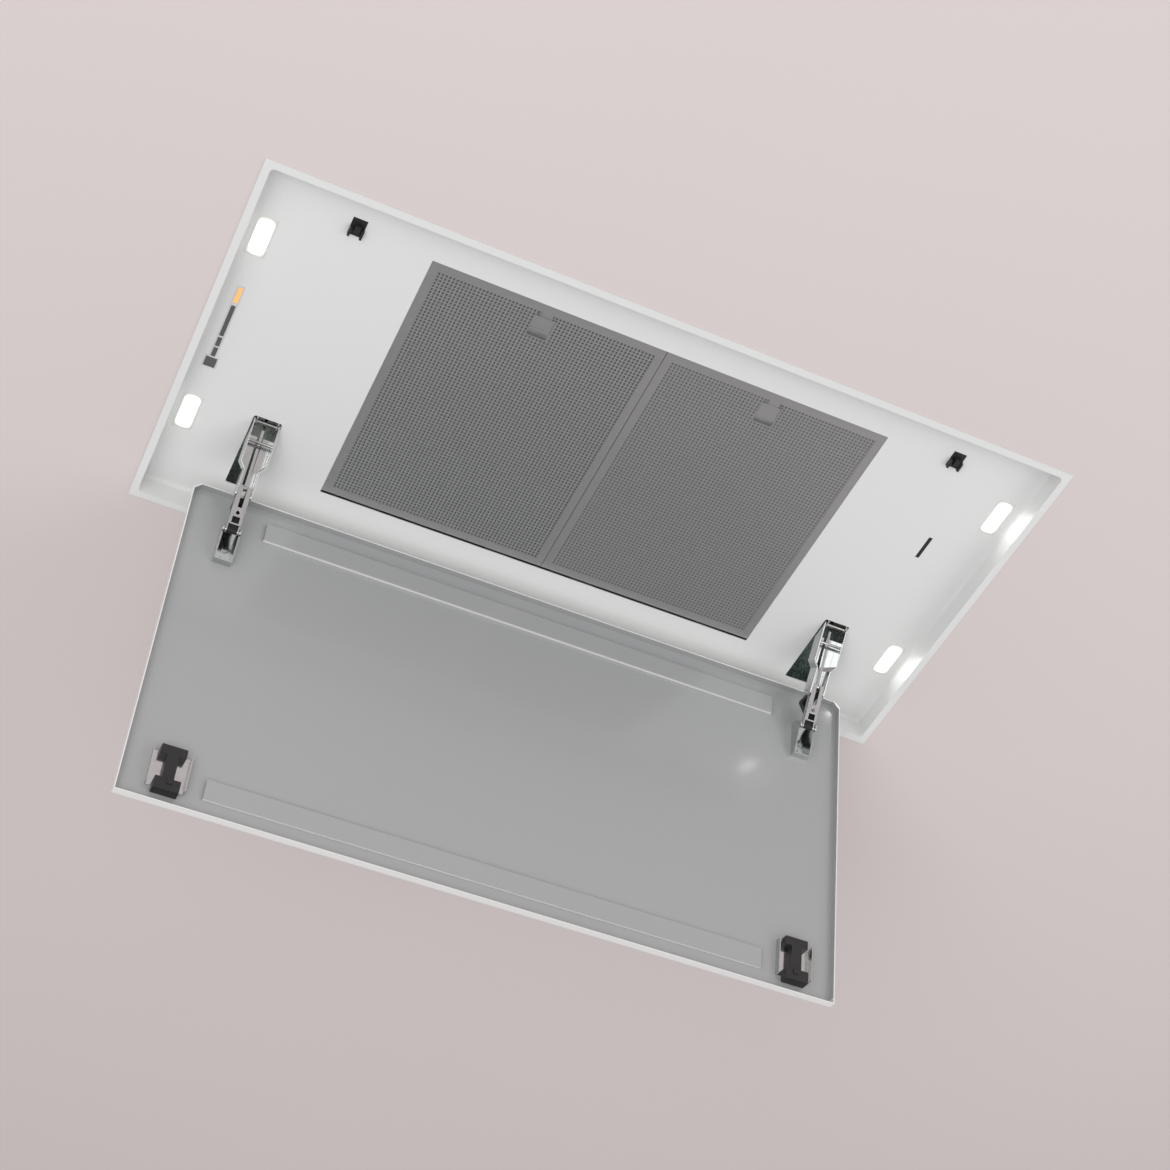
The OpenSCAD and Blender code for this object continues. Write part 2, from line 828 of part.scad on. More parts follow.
// Sliding latch: bolt over the plate's edge, and a square plate in the recess with a lip
// along its rear edge that pulls it back
module filter_latch(s) {
    pull_rear = grip_y + grip_l / 2 - latch_travel - seat_gap;
    color("lightgray") translate([filter_x(s), 0, 0]) {
        span([-bolt_w / 2, filter_front_y - bolt_l, lug_z], [bolt_w / 2, pull_rear, lug_z + bolt_t]);
        span([-grip_w / 2 + fit_gap, grip_y - grip_l / 2 + fit_gap, lug_z],
            [grip_w / 2 - fit_gap, pull_rear, lug_z + bolt_t]);
        span([-grip_w / 2 + fit_gap, pull_rear - latch_pull_l, filter_z + seat_gap],
            [grip_w / 2 - fit_gap, pull_rear, lug_z + bolt_t]);
    }
}

module lamp_lens(s) {
    color("ivory") for (y = lamp_ys) {
        block([lamp_w - 2 * fit_gap, lamp_l - 2 * fit_gap, sheet_t - lamp_lens_sink],
            [s * lamp_x, y, plate_z + lamp_lens_sink]);
        block([lamp_w + 2 * lamp_lip, lamp_l + 2 * lamp_lip, lamp_lip_t], [s * lamp_x, y, plate_top]);
    }
}

// Lamp housing: box over the lens, with cooling fins
module lamp_housing(s) {
    l = lamp_w + 2 * lamp_lip + 2 * fit_gap;
    w = lamp_l + 2 * lamp_lip + 2 * fit_gap;
    pitch = (w - fin_t) / (fin_count - 1);
    color("silver") for (y = lamp_ys) {
        difference() {
            block([l + 2 * lamp_box_t, w + 2 * lamp_box_t, lamp_box_h], [s * lamp_x, y, plate_top]);
            block([l, w, lamp_box_h - lamp_box_t + over], [s * lamp_x, y, plate_top - over]);
        }
        for (i = [0 : fin_count - 1])
            block([l, fin_t, fin_h], [s * lamp_x, y - (w - fin_t) / 2 + i * pitch, plate_top + lamp_box_h]);
    }
}

// Bezel that fills the strip's cut-out, with a lip above the plate
module control_bezel() {
    h = sheet_t + bezel_drop;
    color("gainsboro") difference() {
        union() {
            translate([0, 0, plate_z - bezel_drop]) linear_extrude(h) strip_outline(0);
            translate([0, 0, plate_top]) linear_extrude(bezel_lip_t) strip_outline(bezel_lip);
        }
        for (ys = [indicator_ys, window_ys, light_key_ys, fan_key_ys])
            strip_cell(ys, 0, plate_z - over, plate_top + 2 * over + bezel_lip_t);
        block([main_key_l, main_key_l, bezel_lip_t + 3 * over + h], [-strip_x, main_key_y, plate_z - over]);
    }
}

// Block that fills one cell of the strip, less a gap on each side
module strip_cell(ys, gap, low, high) {
    span([-strip_x - strip_w / 2 + gap, ys[0] + gap, low], [-strip_x + strip_w / 2 - gap, ys[1] - gap, high]);
}

module indicator_lens() {
    color("orange") strip_cell(indicator_ys, fit_gap, plate_z - bezel_drop, plate_top + board_deck);
}

module control_window() {
    color("dimgray") strip_cell(window_ys, fit_gap, plate_z - bezel_drop, plate_top + board_deck);
}

// Small key in the strip, with a collar that keeps it from falling through
module strip_key(ys) {
    low = plate_z - key_head;
    color("dimgray") {
        strip_cell(ys, fit_gap, low, low + key_h);
        span([-strip_x - strip_w / 2 - key_margin, ys[0] - key_margin, plate_top + bezel_lip_t + fit_gap],
            [-strip_x + strip_w / 2 + key_margin, ys[1] + key_margin, low + key_h + key_margin]);
    }
}

module main_key() {
    low = plate_z - key_head;
    l = main_key_l - 2 * fit_gap;
    lip = plate_top + bezel_lip_t + fit_gap;
    color("dimgray") {
        block([l, l, key_h], [-strip_x, main_key_y, low]);
        block([l + 2 * key_margin + fit_gap, l + 2 * key_margin + fit_gap, low + key_h + key_margin - lip],
            [-strip_x, main_key_y, lip]);
    }
}

// Housing of the control board, a deep box that stands on the bezel's lip
module control_board() {
    low = plate_top + bezel_lip_t;
    deck = plate_top + board_deck;
    color("darkslategray") difference() {
        span([-strip_x - board_l / 2, board_y0, low], [-strip_x + board_l / 2, board_y1, low + board_h]);
        span([-strip_x - board_l / 2 + board_t, board_y0 + board_t, low - over],
            [-strip_x + board_l / 2 - board_t, board_y1 - board_t, deck]);
    }
}

module sensor_window() {
    color("black") translate([sensor_x, sensor_y, 0]) {
        block([sensor_w - 2 * fit_gap, sensor_l - 2 * fit_gap, sheet_t], [0, 0, plate_z]);
        block([sensor_w + 2 * sensor_lip, sensor_l + 2 * sensor_lip, sensor_h], [0, 0, plate_top]);
    }
}

// Panel: folded sheet with its hinge-side corners cut
module panel() {
    color("lightgray") on_panel() translate([0, -panel_w / 2, 0]) difference() {
        linear_extrude(panel_edge + panel_t) panel_outline(panel_l, panel_w);
        translate([0, 0, panel_t]) linear_extrude(panel_edge + over)
            panel_outline(panel_l - 2 * panel_t, panel_w - 2 * panel_t);
    }
}

module panel_outline(l, w) {
    polygon([
        [-l / 2, -w / 2], [l / 2, -w / 2], [l / 2, w / 2 - corner_cut], [l / 2 - corner_cut, w / 2],
        [corner_cut - l / 2, w / 2], [-l / 2, w / 2 - corner_cut]
    ]);
}

module panel_stiffeners() {
    mid = stiffener_inset + stiffener_w / 2;
    color("lightgray") on_panel() for (y = [-mid, mid - panel_w])
        difference() {
            block([stiffener_l, stiffener_w, stiffener_h], [0, y, panel_t]);
            block([stiffener_l + 2 * over, stiffener_w - 2 * stiffener_t, stiffener_h - stiffener_t],
                [0, y, panel_t]);
        }
}

// Side outline of a cup: high round the pivot, falling away from the hinge edge
module cup_outline() {
    translate([-cup_s, cup_p]) circle(cup_eye_r);
    polygon([
        [-cup_start, panel_t], [-cup_start, cup_low], [-cup_s + cup_eye_r, cup_p],
        [-cup_s, cup_p + cup_eye_r], [-cup_s - cup_eye_r, cup_p], [-cup_end, cup_low], [-cup_end, panel_t]
    ]);
}

module hinge_cup(s) {
    color("silver") on_panel() at_hinge(s) difference() {
        union() {
            side_pair(cup_t, cup_w / 2 - cup_t) cup_outline();
            span([-cup_w / 2, -cup_end, panel_t], [cup_w / 2, -cup_start, panel_t + cup_floor]);
            span([-cup_w / 2, -cup_end, panel_t], [cup_w / 2, cup_t - cup_end, cup_low]);
            for (y = cup_screw_ss)
                translate([0, -y, panel_t + cup_floor]) cylinder(r = cup_screw_r, h = cup_screw_h);
        }
        cross_pin(cup_pin_r, cup_w, [-cup_s, cup_p]);
    }
}

module cup_pins() {
    color("gainsboro") for (s = [-1, 1])
        on_panel() at_hinge(s) cross_pin(cup_pin_r, cup_w / 2, [-cup_s, cup_p]);
}

// Trough over a hinge slot, open at the carrier's end, that keeps the cooking air out
module hinge_trough(s) {
    half = slot_w / 2 + seat_gap;
    end = slot_y + slot_l + seat_gap;
    top = carrier_top + trough_room;
    color("silver") at_hinge(s) difference() {
        union() {
            span([-half - trough_t, slot_y, plate_top], [half + trough_t, end + trough_t, top + trough_t]);
            span([-half - trough_foot, slot_y, plate_top], [half + trough_foot, end + trough_foot, plate_top + trough_t]);
        }
        span([-half, slot_y - over, plate_top - over], [half, end, top]);
    }
}

// Carrier: foot on the plate and two ears that reach into the slot
module carrier(s) {
    eye = [pivot_y, pivot_z];
    front = pivot_y + carrier_front;
    slot_edge = slot_y + seat_gap;
    color("silver") at_hinge(s) difference() {
        union() {
            block([carrier_w, carrier_l, carrier_t], [0, carrier_back_y + carrier_l / 2, plate_top]);
            side_pair(ear_t, ear_x) {
                translate(eye) circle(carrier_eye_r);
                polygon([
                    [carrier_back_y, plate_top], [slot_edge, plate_top], [slot_edge, eye[1] - carrier_eye_r],
                    [eye[0], eye[1] - carrier_eye_r], [front - carrier_eye_r / 2, eye[1]],
                    [front, carrier_top - carrier_eye_r], [front - carrier_eye_r, carrier_top],
                    [slot_edge - carrier_eye_r, carrier_top], [carrier_back_y, plate_top + carrier_eye_r]
                ]);
            }
            for (x = [-1, 1])
                translate([x * carrier_screw_x, carrier_back_y + carrier_l / 2, plate_top + carrier_t])
                    cylinder(r = carrier_screw_r, h = carrier_t);
        }
        cross_pin(pivot_r, carrier_w, eye);
        cross_pin(anchor_pin_r, carrier_w, rod_anchor);
    }
}

module carrier_pins() {
    color("gainsboro") for (s = [-1, 1]) at_hinge(s) {
        cross_pin(pivot_r, arm_w / 2, [pivot_y, pivot_z]);
        cross_pin(anchor_pin_r, ear_x + ear_t, rod_anchor);
    }
}

// Side outline of the arm between its pivots
module arm_side() {
    circle(arm_low);
    translate([arm_l, 0]) circle(arm_end);
    polygon([
        [0, -arm_low], [arm_l, -arm_end], [arm_l + arm_end, 0], [arm_web_end, arm_high],
        [arm_low, arm_high], [-arm_low, 0]
    ]);
}

// Plan outline of the arm, wide at the carrier and narrow at the knee
module arm_plan(half_wide, half_neck, shift) {
    far = arm_l + 2 * arm_end;
    near = -2 * arm_low;
    polygon([
        [half_wide, near], [half_wide, arm_neck_start + shift], [half_neck, arm_neck_end + shift],
        [half_neck, far], [-half_neck, far], [-half_neck, arm_neck_end + shift],
        [-half_wide, arm_neck_start + shift], [-half_wide, near]
    ]);
}

// Arm: two rails with inturned webs, tied by a cross rivet, so that the rod swings between
module hinge_arm(s) {
    color("silver") at_hinge(s) on_arm() cross_pin(arm_tie_r, arm_w / 2, arm_tie);
    color("silver") at_hinge(s) on_arm() difference() {
        intersection() {
            side(arm_w, -arm_w / 2) arm_side();
            translate([0, 0, -2 * arm_low]) linear_extrude(arm_high + 3 * arm_low)
                arm_plan(arm_w / 2, arm_neck_w / 2, 0);
        }
        translate([0, 0, -2 * arm_low]) linear_extrude(arm_high + 2 * arm_low - arm_t)
            arm_plan(arm_w / 2 - arm_t, arm_neck_w / 2 - arm_t, -arm_t / 2);
        translate([0, 0, arm_low]) linear_extrude(arm_high) intersection() {
            arm_plan(arm_w / 2 - arm_t, arm_neck_w / 2 - arm_t, -arm_t / 2);
            union() {
                translate([-arm_w, -2 * arm_low]) square([2 * arm_w, 2 * arm_low + arm_web_start]);
                translate([-arm_w, arm_web_end]) square([2 * arm_w, arm_w]);
                translate([-rod_slot_w / 2, 0]) square([rod_slot_w, arm_l]);
            }
        }
        cross_pin(pivot_r + run_gap, arm_w);
        cross_pin(knee_pin_r, arm_w, [arm_l, 0]);
    }
}

// Short knee pins, two to a hinge, so that the control rod passes between them
module arm_pins() {
    l = arm_neck_w / 2 - knee_pin_in;
    color("gainsboro") for (s = [-1, 1], x = [-1, 1])
        at_hinge(s) on_arm() translate([x * (knee_pin_in + l / 2), 0, 0]) cross_pin(knee_pin_r, l / 2, [arm_l, 0]);
}

// Link: two cheeks and a front plate with a hole and a window
module hinge_link(s) {
    front_end = link_l - front_end_gap;
    color("gainsboro") at_hinge(s) on_link() difference() {
        union() {
            side_pair(cheek_t, cheek_x) {
                bar([rod_w, 0], [link_l, 0], cheek_r - front_t / 2);
                translate([front_start, -front_q - front_t]) square([front_end - front_start, front_q]);
            }
            span([-front_w / 2, front_start, -front_q - front_t], [front_w / 2, front_end, -front_q]);
        }
        span([-front_slot_w / 2, front_start - over, -front_q - front_t - over],
            [front_slot_w / 2, front_slot_end, over - front_q]);
        translate([0, hole_share * link_l, -front_q - front_t - over]) cylinder(r = hole_r, h = front_t + 2 * over);
        block([window_w, window_l, front_t + 2 * over], [0, window_share * link_l, -front_q - front_t - over]);
        cross_pin(knee_pin_r + run_gap, front_w);
        cross_pin(cup_pin_r + run_gap, front_w, [link_l, 0]);
        cross_pin(rod_pin_r, front_w, [rod_w, 0]);
    }
}

// Bent strap between the link's cheeks, forked round the control rod at the knee
module goosenecks() {
    color("dimgray") for (s = [-1, 1])
        at_hinge(s) on_link() difference() {
            side(2 * cheek_x, -cheek_x) {
                bar([0, 0], neck_elbow, neck_r, neck_waist);
                bar(neck_elbow, neck_mid, neck_r, neck_waist);
                bar(neck_mid, [link_l, 0], neck_r, neck_waist);
            }
            span([-neck_fork_w / 2, -neck_fork_end, -neck_fork_end], [neck_fork_w / 2, neck_fork_end, neck_fork_end]);
            cross_pin(knee_pin_r + run_gap, front_w);
            cross_pin(cup_pin_r + run_gap, front_w, [link_l, 0]);
        }
}

module link_pins() {
    color("silver") for (s = [-1, 1])
        at_hinge(s) on_link() cross_pin(rod_pin_r, cheek_x + cheek_t, [rod_w, 0]);
}

// Control rod: exact eye at the link, slotted eye on the carrier's pin
module control_rods() {
    slot_r = anchor_pin_r + anchor_slot_gap;
    slot_at = [rod_l - anchor_slot_back, 0];
    slot_to = slot_at + [0, anchor_slot_l];
    color("silver") for (s = [-1, 1])
        at_hinge(s) on_rod() difference() {
            side(rod_t, -rod_t / 2) {
                circle(rod_eye_r);
                bar([0, 0], slot_at, rod_r);
                bar(slot_at, slot_to, slot_r + rod_r);
            }
            cross_pin(rod_pin_r + run_gap, rod_t);
            side(2 * rod_t, -rod_t) bar(slot_at, slot_to, slot_r);
        }
}

module at_catch(s) {
    translate([s * catch_x, -catch_y, 0]) children();
}

// Receiver: body in the plate's hole, with two jaws below it
module catch_receiver(s) {
    color("dimgray") at_catch(s) difference() {
        union() {
            block([receiver_l, receiver_w, receiver_h], [0, 0, plate_z]);
            block([receiver_l + 2 * receiver_lip, receiver_w + 2 * receiver_lip, receiver_lip_t], [0, 0, plate_top]);
            for (x = [-1, 1])
                block([jaw_t, jaw_w, jaw_drop + over],
                    [x * (receiver_l - jaw_t) / 2, (receiver_w - jaw_w) / 2, plate_z - jaw_drop]);
        }
        block([plunger_l + 2 * fit_gap, plunger_w + 2 * fit_gap, receiver_h + 2 * over], [0, 0, plate_z - over]);
    }
}

module catch_plunger(s) {
    color("black") at_catch(s) block([plunger_l, plunger_w, plunger_drop + plunger_h], [0, 0, plate_z - plunger_drop]);
}

// Keeper on the panel: upper bar, pillar and box-shaped lower bar
module keeper(s) {
    base = panel_t + keeper_plate_t;
    strike = plate_z - plunger_drop - striker_gap - closed_z;
    color("dimgray") on_panel() translate([s * keeper_x, 0, 0]) {
        span([-keeper_bar_w / 2, -keeper_end, base], [keeper_bar_w / 2, keeper_bar_l - keeper_end, base + keeper_h]);
        span([-keeper_bar_w / 2, -keeper_start - keeper_top_l, base], [keeper_bar_w / 2, -keeper_start, base + keeper_top_h]);
        span([-keeper_pillar_w / 2, -keeper_end, base], [keeper_pillar_w / 2, -keeper_start, base + keeper_top_h]);
        translate([s * (catch_x - keeper_x), -closed_y - catch_y, 0]) block([striker_w, striker_l, strike - base], [0, 0, base]);
    }
}

// Metal plate under each keeper, with a turned-up wing on both sides
module keeper_plates() {
    half = keeper_plate_w / 2;
    color("silver") for (s = [-1, 1]) on_panel() translate([s * keeper_x, 0, 0]) {
        span([-half, -keeper_plate_end, panel_t], [half, -keeper_plate_start, panel_t + keeper_plate_t]);
        for (x = [-1, 1])
            block([keeper_plate_t, keeper_plate_end - keeper_plate_start, keeper_wing_h],
                [x * (half - keeper_plate_t / 2), -(keeper_plate_start + keeper_plate_end) / 2, panel_t]);
    }
}

tray();
casing();
casing_nuts();
plenum_walls();
duct_collar();
flap_axle();
flap(-1, 0);  // flap_front
flap(1, 1);  // flap_rear
blower_scroll();
motor_mount();
blower_motor();
motor_shaft();
impeller();
junction_box();
cable_gland();
hanger(-1);  // hanger_left
hanger(1);  // hanger_right
filter_frame(-1);  // filter_frame_left
filter_frame(1);  // filter_frame_right
filter_mesh(-1);  // filter_mesh_left
filter_mesh(1);  // filter_mesh_right
filter_latch(-1);  // filter_latch_left
filter_latch(1);  // filter_latch_right
lamp_lens(-1);  // lamp_lens_left
lamp_lens(1);  // lamp_lens_right
lamp_housing(-1);  // lamp_housing_left
lamp_housing(1);  // lamp_housing_right
control_bezel();
indicator_lens();
control_window();
strip_key(light_key_ys);  // light_key
strip_key(fan_key_ys);  // fan_key
main_key();
control_board();
sensor_window();
panel();
panel_stiffeners();
hinge_cup(-1);  // hinge_cup_left
hinge_cup(1);  // hinge_cup_right
cup_pins();
hinge_trough(-1);  // hinge_trough_left
hinge_trough(1);  // hinge_trough_right
carrier(-1);  // carrier_left
carrier(1);  // carrier_right
carrier_pins();
hinge_arm(-1);  // hinge_arm_left
hinge_arm(1);  // hinge_arm_right
arm_pins();
hinge_link(-1);  // hinge_link_left
hinge_link(1);  // hinge_link_right
goosenecks();
link_pins();
control_rods();
catch_receiver(-1);  // catch_receiver_left
catch_receiver(1);  // catch_receiver_right
catch_plunger(-1);  // catch_plunger_left
catch_plunger(1);  // catch_plunger_right
keeper(-1);  // keeper_left
keeper(1);  // keeper_right
keeper_plates();
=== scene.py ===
"""Ceiling range hood, seen from the room below, with its front panel hanging open."""

import math

import bpy
from mathutils import Matrix, Vector


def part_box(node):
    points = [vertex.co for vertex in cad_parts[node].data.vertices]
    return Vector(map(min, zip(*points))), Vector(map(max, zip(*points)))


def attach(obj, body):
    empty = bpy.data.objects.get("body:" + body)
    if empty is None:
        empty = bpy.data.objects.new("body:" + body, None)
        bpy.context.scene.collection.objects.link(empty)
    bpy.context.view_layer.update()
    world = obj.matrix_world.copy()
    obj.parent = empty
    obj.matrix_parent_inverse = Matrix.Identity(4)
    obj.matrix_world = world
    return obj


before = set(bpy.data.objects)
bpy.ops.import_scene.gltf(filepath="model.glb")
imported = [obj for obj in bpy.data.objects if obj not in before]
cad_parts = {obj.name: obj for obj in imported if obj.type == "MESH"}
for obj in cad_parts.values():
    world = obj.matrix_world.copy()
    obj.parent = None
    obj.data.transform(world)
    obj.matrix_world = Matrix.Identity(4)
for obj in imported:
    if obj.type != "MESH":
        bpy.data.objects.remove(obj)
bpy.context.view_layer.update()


# Room: the hood hangs in a plain pale ceiling, so that stands for the floor. It is
# clear from above, where the casing would be out of sight otherwise.
MM = 0.001
CEILING_COLOUR = (216, 206, 205)
CEILING_REACH = 6.0
CEILING_Z = 1.3 * MM
RIM_LAP = 5 * MM
GRID_EDGE = 0.3
SCREEN_LEVELS = 255
SCREEN_KNEE = 0.04045
SCREEN_SLOPE = 12.92
SCREEN_LIFT = 0.055
SCREEN_POWER = 2.4
MIX_FIRST = 6
MIX_SECOND = 7
MIX_RESULT = 2


def linear(colour, share=1.0):
    """Scene colour of an 8-bit screen colour."""
    out = []
    for level in colour:
        level /= SCREEN_LEVELS
        if level <= SCREEN_KNEE:
            level /= SCREEN_SLOPE
        else:
            level = ((level + SCREEN_LIFT) / (1 + SCREEN_LIFT)) ** SCREEN_POWER
        out.append(share * level)
    return (*out, 1.0)


class Signal:
    """Output of a shader node, which adds and multiplies like a number."""

    def __init__(self, tree, socket):
        self.tree = tree
        self.socket = socket

    def maths(self, operation, *values):
        node = self.tree.nodes.new("ShaderNodeMath")
        node.operation = operation
        for socket, value in zip(node.inputs, values):
            feed(self.tree, value, socket)
        return Signal(self.tree, node.outputs[0])

    def __add__(self, other):
        return self.maths("ADD", self, other)

    __radd__ = __add__

    def __sub__(self, other):
        return self.maths("SUBTRACT", self, other)

    def __rsub__(self, other):
        return self.maths("SUBTRACT", other, self)

    def __mul__(self, other):
        return self.maths("MULTIPLY", self, other)

    __rmul__ = __mul__

    def __truediv__(self, other):
        return self.maths("DIVIDE", self, other)

    def __rtruediv__(self, other):
        return self.maths("DIVIDE", other, self)

    def __abs__(self):
        return self.maths("ABSOLUTE", self)

    def above(self, edge):
        return self.maths("GREATER_THAN", self, edge)

    def below(self, edge):
        return self.maths("LESS_THAN", self, edge)

    def either(self, other):
        return self.maths("MAXIMUM", self, other)

    def less(self, other):
        return self.maths("MINIMUM", self, other)

    def clamped(self):
        return self.either(0).less(1)

    def wave(self, pitch):
        """Distance from the middle of each cell, 0 to 1."""
        return abs(self.maths("FRACT", self / pitch) - 0.5) * 2

    def tint(self, first, second):
        """Colour that goes from first to second as the signal goes from 0 to 1."""
        node = self.tree.nodes.new("ShaderNodeMix")
        node.data_type = "RGBA"
        feed(self.tree, self, node.inputs["Factor"])
        feed(self.tree, first, node.inputs[MIX_FIRST])
        feed(self.tree, second, node.inputs[MIX_SECOND])
        return Signal(self.tree, node.outputs[MIX_RESULT])

    def between(self, start, end):
        """The signal's 0 to 1 stretched to start to end."""
        return self * (end - start) + start


def feed(tree, value, socket):
    if isinstance(value, Signal):
        tree.links.new(value.socket, socket)
    else:
        socket.default_value = value


class Finish:
    """Procedural material; constants sit on the shader's own sockets."""

    def __init__(self, name, colour, roughness, **constants):
        self.material = bpy.data.materials.new(name)
        self.material.use_nodes = True
        self.tree = self.material.node_tree
        self.shader = self.tree.nodes["Principled BSDF"]
        self.point = self.node("ShaderNodeTexCoord").outputs["Object"]
        self.set("Base Color", linear(colour))
        self.set("Roughness", roughness)
        for key, value in constants.items():
            self.set(key.replace("_", " ").title().replace("Ior", "IOR"), value)

    def node(self, kind, settings=(), sockets=()):
        node = self.tree.nodes.new(kind)
        for key, value in dict(settings).items():
            setattr(node, key, value)
        for key, value in dict(sockets).items():
            feed(self.tree, value, node.inputs[key])
        return node

    def set(self, key, value):
        feed(self.tree, value, self.shader.inputs[key])

    def signal(self, socket):
        return Signal(self.tree, socket)

    def axes(self):
        node = self.node("ShaderNodeSeparateXYZ", sockets={"Vector": self.signal(self.point)})
        return [self.signal(socket) for socket in node.outputs]

    def along(self, direction):
        """Distance of the point from the origin, measured along a direction."""
        dot = self.node(
            "ShaderNodeVectorMath",
            {"operation": "DOT_PRODUCT"},
            {0: self.signal(self.point), 1: direction},
        )
        return self.signal(dot.outputs["Value"])

    def noise(self, size, stretch=(1, 1, 1), detail=2.0):
        """Smooth noise, 0 to 1, whose lumps are about size metres wide."""
        turned = self.node(
            "ShaderNodeMapping",
            sockets={"Vector": self.signal(self.point), "Scale": [1 / (size * s) for s in stretch]},
        )
        node = self.node(
            "ShaderNodeTexNoise",
            sockets={"Vector": self.signal(turned.outputs[0]), "Scale": 1.0, "Detail": detail},
        )
        return self.signal(node.outputs[0])

    def grains(self, size):
        """Flat random grey for each crystal, 0 to 1."""
        node = self.node(
            "ShaderNodeTexVoronoi", sockets={"Vector": self.signal(self.point), "Scale": 1 / size}
        )
        colour = self.node("ShaderNodeSeparateXYZ", sockets={"Vector": self.signal(node.outputs["Color"])})
        return self.signal(colour.outputs[0])

    def relief(self, height, depth, strength=1.0):
        bump = self.node(
            "ShaderNodeBump", sockets={"Height": height, "Distance": depth, "Strength": strength}
        )
        self.set("Normal", self.signal(bump.outputs[0]))

    def shades(self, colour, low, high, size, stretch=(1, 1, 1)):
        """The colour wandering between two shares of itself."""
        return self.noise(size, stretch).tint(linear(colour, low), linear(colour, high))

    def mottle(self, colour, share, size, stretch=(1, 1, 1)):
        """Base colour that wanders by a share of itself."""
        self.set("Base Color", self.shades(colour, 1 - share, 1 + share, size, stretch))

    def gloss(self, low, high, size, stretch=(1, 1, 1)):
        """Roughness that wanders between two values."""
        self.set("Roughness", self.noise(size, stretch).between(low, high))

    def ripple(self, size, depth, strength, detail=2.0):
        """Fine unevenness of a coat, a casting or a rolled sheet."""
        self.relief(self.noise(size, detail=detail), depth, strength)


def start():
    """Nothing selected, so that the next tool works on the new piece alone."""
    if bpy.context.object and bpy.context.object.mode != "OBJECT":
        bpy.ops.object.mode_set(mode="OBJECT")
    bpy.ops.object.select_all(action="DESELECT")


def pick(piece, test):
    """Leaves the piece in edit mode with the faces that pass a test selected."""
    bpy.ops.object.mode_set(mode="EDIT")
    bpy.ops.mesh.select_mode(type="FACE")
    bpy.ops.mesh.select_all(action="DESELECT")
    bpy.ops.object.mode_set(mode="OBJECT")
    for face in piece.data.polygons:
        face.select = test(face.center)
    bpy.ops.object.mode_set(mode="EDIT")


def settle(piece, name):
    """Names the piece and writes its place and its modifiers into its mesh."""
    piece.name = name
    piece.data.name = name
    bpy.ops.object.select_all(action="DESELECT")
    piece.select_set(True)
    bpy.context.view_layer.objects.active = piece
    for modifier in list(piece.modifiers):
        bpy.ops.object.modifier_apply(modifier=modifier.name)
    bpy.ops.object.transform_apply(location=True, rotation=True, scale=True)
    return piece


tray_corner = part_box("tray")[1]
start()
bpy.ops.mesh.primitive_grid_add(x_subdivisions=3, y_subdivisions=3, size=1)
ceiling = bpy.context.object
for corner in ceiling.data.vertices:
    for axis in range(2):
        far = abs(corner.co[axis]) > GRID_EDGE
        edge = CEILING_REACH if far else tray_corner[axis] - RIM_LAP
        corner.co[axis] = math.copysign(edge, corner.co[axis])
    corner.co.z = CEILING_Z
pick(ceiling, lambda centre: centre.length < tray_corner.y)
bpy.ops.mesh.delete(type="FACE")
bpy.ops.mesh.select_all(action="SELECT")
bpy.ops.mesh.flip_normals()
bpy.ops.object.mode_set(mode="OBJECT")
settle(ceiling, "ceiling")
plaster = Finish("ceiling_paint", CEILING_COLOUR, roughness=0.9)
plaster.mottle(CEILING_COLOUR, share=0.02, size=900 * MM)
plaster_out = plaster.tree.nodes["Material Output"]
clear = plaster.node("ShaderNodeBsdfTransparent")
facing = plaster.node("ShaderNodeNewGeometry")
gate = plaster.node("ShaderNodeMixShader")
feed(plaster.tree, plaster.signal(facing.outputs["Backfacing"]), gate.inputs[0])
feed(plaster.tree, plaster.signal(plaster.shader.outputs[0]), gate.inputs[1])
feed(plaster.tree, plaster.signal(clear.outputs[0]), gate.inputs[2])
feed(plaster.tree, plaster.signal(gate.outputs[0]), plaster_out.inputs["Surface"])
ceiling.data.materials.append(plaster.material)


# Light: even daylight from the room, with a soft lamp on either side of the camera.
# The room's floor is darker than its walls, which gives bare metal its contrast.
WORLD_COLOUR = (206, 199, 198)
FLOOR_COLOUR = (84, 82, 82)
FLOOR_EDGE = (-0.72, -0.94)
WORLD_LIGHT = 0.62
# Name, place, target, size and watts of each lamp
LAMPS = (
    ("key_light", (-1.4, -1.6, -2.2), (0.1, 0.0, 0.0), (2.2, 2.2), 36.0),
    ("fill_light", (1.9, -1.2, -1.6), (0.0, 0.0, 0.0), (1.8, 1.8), 14.0),
)

world = bpy.data.worlds.new("studio")
bpy.context.scene.world = world
world.use_nodes = True
sky = world.node_tree
seen = sky.nodes.new("ShaderNodeLightPath")
direct = Signal(sky, seen.outputs["Is Camera Ray"])
mirrored = Signal(sky, seen.outputs["Is Glossy Ray"])
through = Signal(sky, seen.outputs["Is Transmission Ray"])
shown = direct.either(mirrored).either(through)
heading = sky.nodes.new("ShaderNodeSeparateXYZ")
sky.links.new(sky.nodes.new("ShaderNodeTexCoord").outputs["Generated"], heading.inputs[0])
height = Signal(sky, heading.outputs[2])
depth = ((height - FLOOR_EDGE[0]) / (FLOOR_EDGE[1] - FLOOR_EDGE[0])).clamped()
backdrop = depth.tint(linear(WORLD_COLOUR), linear(FLOOR_COLOUR))
feed(sky, shown.tint((1, 1, 1, 1), backdrop), sky.nodes["Background"].inputs["Color"])
feed(sky, shown.between(WORLD_LIGHT, 1.0), sky.nodes["Background"].inputs["Strength"])

